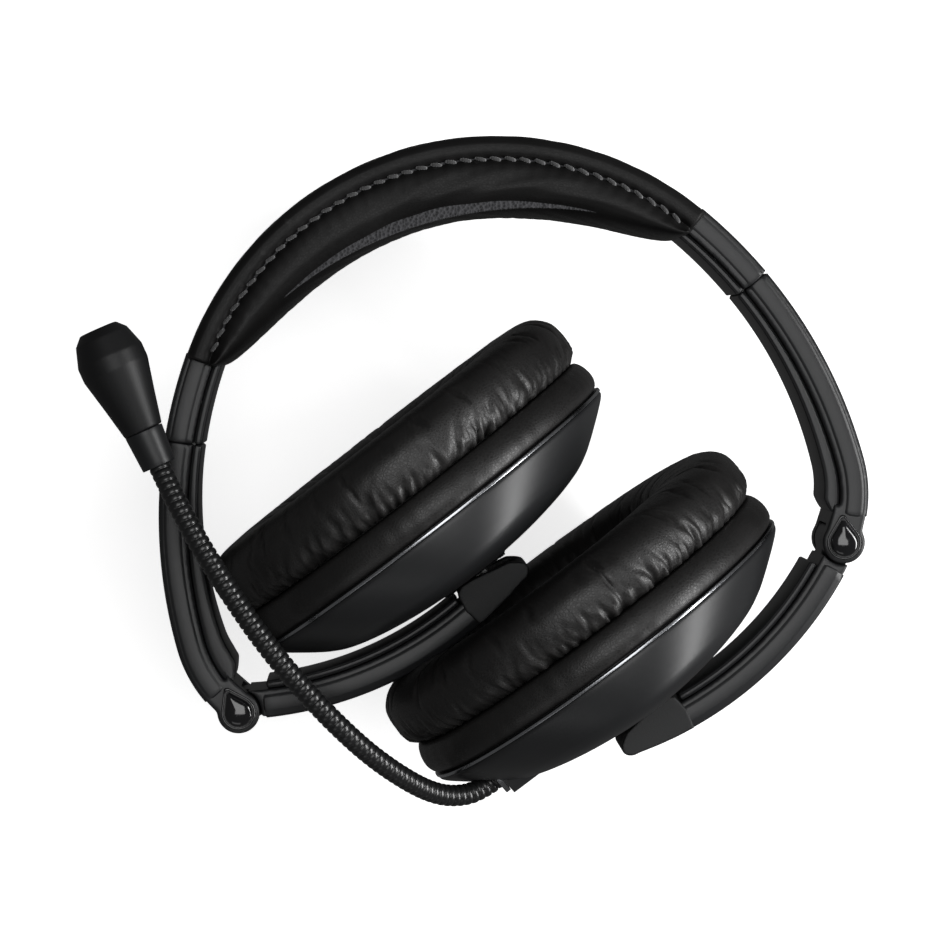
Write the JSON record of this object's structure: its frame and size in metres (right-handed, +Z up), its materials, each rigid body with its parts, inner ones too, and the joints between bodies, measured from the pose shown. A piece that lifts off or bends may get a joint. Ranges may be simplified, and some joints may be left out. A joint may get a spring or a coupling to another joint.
{
  "type": "headset",
  "caption": "Folding over-ear office headset with padded leather band, sliding arms, folding and tilting ear cups and a gooseneck boom microphone.",
  "frame": {"origin": "on the table, under the middle of the headset as it lies folded on the rims of its ear cups", "axes": "+Z up, towards the wearer's front; X along the longest extent, +X towards the hinge of the boom side; +Y towards the top of the band"},
  "size_m": [0.1908, 0.1622, 0.1044],
  "materials": {
    "leather": "soft black leather with a fine grain",
    "foam": "open-cell foam",
    "spring_steel": "bright rolled steel",
    "screw_steel": "darkened steel",
    "shell": "satin black moulding",
    "inner_cover": "finely textured black",
    "gloss_cap": "polished black",
    "trim_metal": "thin bright ring",
    "driver_plastic": "matt dark grey",
    "magnet_metal": "plated steel",
    "diaphragm_film": "thin film",
    "scrim_cloth": "fine black mesh cloth",
    "socket_plastic": "satin black",
    "neck_metal": "painted black"
  },
  "bodies": {
    "headband": {"headband_spring": "spring_steel", "headband_foam": "foam", "headband_cover": "leather", "left_band_end": "shell", "right_band_end": "shell", "left_band_end_cover": "inner_cover", "right_band_end_cover": "inner_cover", "band_end_screws": "screw_steel", "left_detent": "spring_steel", "right_detent": "spring_steel"},
    "left_slider": {"left_slider_strip": "spring_steel", "left_arm_shell": "shell", "left_arm_cover": "inner_cover", "left_arm_screws": "screw_steel", "left_fold_pin": "spring_steel", "left_fold_caps": "gloss_cap"},
    "left_yoke": {"left_yoke_shell": "shell", "left_yoke_cover": "inner_cover"},
    "left_cup": {"left_pivot_bracket": "neck_metal", "left_tilt_pin": "spring_steel", "left_bracket_screws": "screw_steel", "left_cup_housing": "shell", "left_trim_ring": "trim_metal", "left_cushion_base": "leather", "left_cushion": "leather", "left_baffle": "driver_plastic", "left_driver_frame": "driver_plastic", "left_driver_magnet": "magnet_metal", "left_diaphragm": "diaphragm_film", "left_ear_scrim": "scrim_cloth", "audio_jack": "socket_plastic", "boom_socket": "socket_plastic"},
    "right_slider": {"right_slider_strip": "spring_steel", "right_arm_shell": "shell", "right_arm_cover": "inner_cover", "right_arm_screws": "screw_steel", "right_fold_pin": "spring_steel", "right_fold_caps": "gloss_cap"},
    "right_yoke": {"right_yoke_shell": "shell", "right_yoke_cover": "inner_cover"},
    "right_cup": {"right_pivot_bracket": "neck_metal", "right_tilt_pin": "spring_steel", "right_bracket_screws": "screw_steel", "right_cup_housing": "shell", "right_trim_ring": "trim_metal", "right_cushion_base": "leather", "right_cushion": "leather", "right_baffle": "driver_plastic", "right_driver_frame": "driver_plastic", "right_driver_magnet": "magnet_metal", "right_diaphragm": "diaphragm_film", "right_ear_scrim": "scrim_cloth"},
    "boom": {"boom_ferrule": "trim_metal", "gooseneck": "neck_metal", "mic_collar": "socket_plastic", "mic_body": "shell", "mic_element": "magnet_metal"}
  },
  "joints": [
    {"name": "left_slide", "type": "slide", "parent": "headband", "child": "left_slider", "axis": [0.6481, -0.7615, 0], "range_m": [0, 0.02]},
    {"name": "right_slide", "type": "slide", "parent": "headband", "child": "right_slider", "axis": [-0.1599, -0.9871, 0], "range_m": [0, 0.02]},
    {"name": "left_fold", "type": "hinge", "parent": "left_slider", "child": "left_yoke", "pos_m": [0.08972, -0.01757, 0.0522], "axis": [0, 0, 1], "range_deg": [0, 69.8]},
    {"name": "right_fold", "type": "hinge", "parent": "right_slider", "child": "right_yoke", "pos_m": [-0.05784, -0.05877, 0.0522], "axis": [0, 0, 1], "range_deg": [-109, 0]},
    {"name": "left_tilt", "type": "hinge", "parent": "left_yoke", "child": "left_cup", "pos_m": [0.04393, -0.05997, 0.0522], "axis": [0, 0, 1], "range_deg": [0, 9]},
    {"name": "right_tilt", "type": "hinge", "parent": "right_yoke", "child": "right_cup", "pos_m": [0.00154, -0.02773, 0.0522], "axis": [0, 0, 1], "range_deg": [-2, 4]},
    {"name": "boom_turn", "type": "hinge", "parent": "left_cup", "child": "boom", "pos_m": [0.00594, -0.0737, 0.0672], "axis": [0.7986, 0.6018, 0], "range_deg": [0, 100]}
  ],
  "couplings": [
    {"joint": "right_fold", "follows": "left_fold", "ratio": -0.35},
    {"joint": "right_slide", "follows": "left_fold", "m_per_rad": 0.0163}
  ]
}
